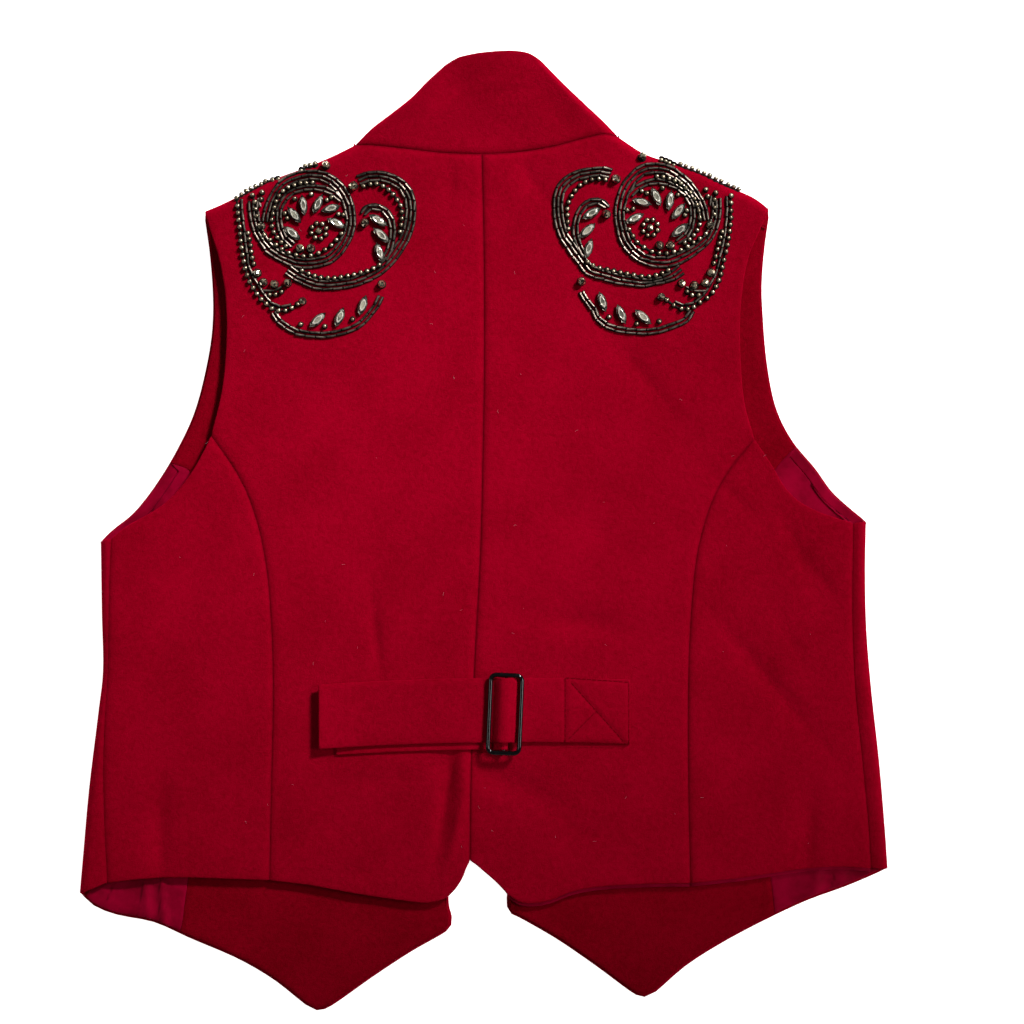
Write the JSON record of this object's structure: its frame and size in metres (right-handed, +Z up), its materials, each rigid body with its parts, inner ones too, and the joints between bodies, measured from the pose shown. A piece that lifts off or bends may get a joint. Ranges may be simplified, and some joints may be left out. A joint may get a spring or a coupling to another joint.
{
  "type": "embroidered waistcoat",
  "caption": "Fitted sleeveless waistcoat of felted wool with a stand collar, cinch belt and beaded shoulders, laid flat with its back up.",
  "frame": {"origin": "middle of the laid-out garment's outline, on the surface that it lies on", "axes": "+Z up from the surface, +Y towards the collar, +X to the right as seen from above with the back up"},
  "size_m": [0.4854, 0.5749, 0.0176],
  "materials": {
    "wool": "matte felted wool",
    "satin": "soft satin lining",
    "gloss_black": "gloss",
    "bead_metal": "dark bronze, polished",
    "stone": "faceted, foil backed",
    "thread": "matte thread",
    "lint": "matte fibre"
  },
  "bodies": {
    "root": {"back_left": "wool", "side_back_left": "wool", "back_lining_left": "satin", "side_lining_left": "satin", "front_left": "wool", "front_facing_left": "wool", "front_lining_left": "satin", "beads_roundel_left": "bead_metal", "beads_inner_arc_left": "bead_metal", "beads_scroll_left": "bead_metal", "beads_hook_left": "bead_metal", "beads_crescent_left": "bead_metal", "beads_armhole_line_left": "bead_metal", "stone_left_01": "stone", "stone_left_02": "stone", "stone_left_03": "stone", "stone_left_04": "stone", "stone_left_05": "stone", "stone_left_06": "stone", "stone_left_07": "stone", "stone_left_08": "stone", "stone_left_09": "stone", "stone_left_10": "stone", "stone_left_11": "stone", "stone_left_12": "stone", "back_right": "wool", "side_back_right": "wool", "back_lining_right": "satin", "side_lining_right": "satin", "front_right": "wool", "front_facing_right": "wool", "front_lining_right": "satin", "beads_roundel_right": "bead_metal", "beads_inner_arc_right": "bead_metal", "beads_scroll_right": "bead_metal", "beads_hook_right": "bead_metal", "beads_crescent_right": "bead_metal", "beads_armhole_line_right": "bead_metal", "stone_right_01": "stone", "stone_right_02": "stone", "stone_right_03": "stone", "stone_right_04": "stone", "stone_right_05": "stone", "stone_right_06": "stone", "stone_right_07": "stone", "stone_right_08": "stone", "stone_right_09": "stone", "stone_right_10": "stone", "stone_right_11": "stone", "stone_right_12": "stone", "collar": "wool", "belt_upper_strap": "wool", "belt_lower_strap": "wool", "slider_buckle": "gloss_black"}
  },
  "joints": []
}
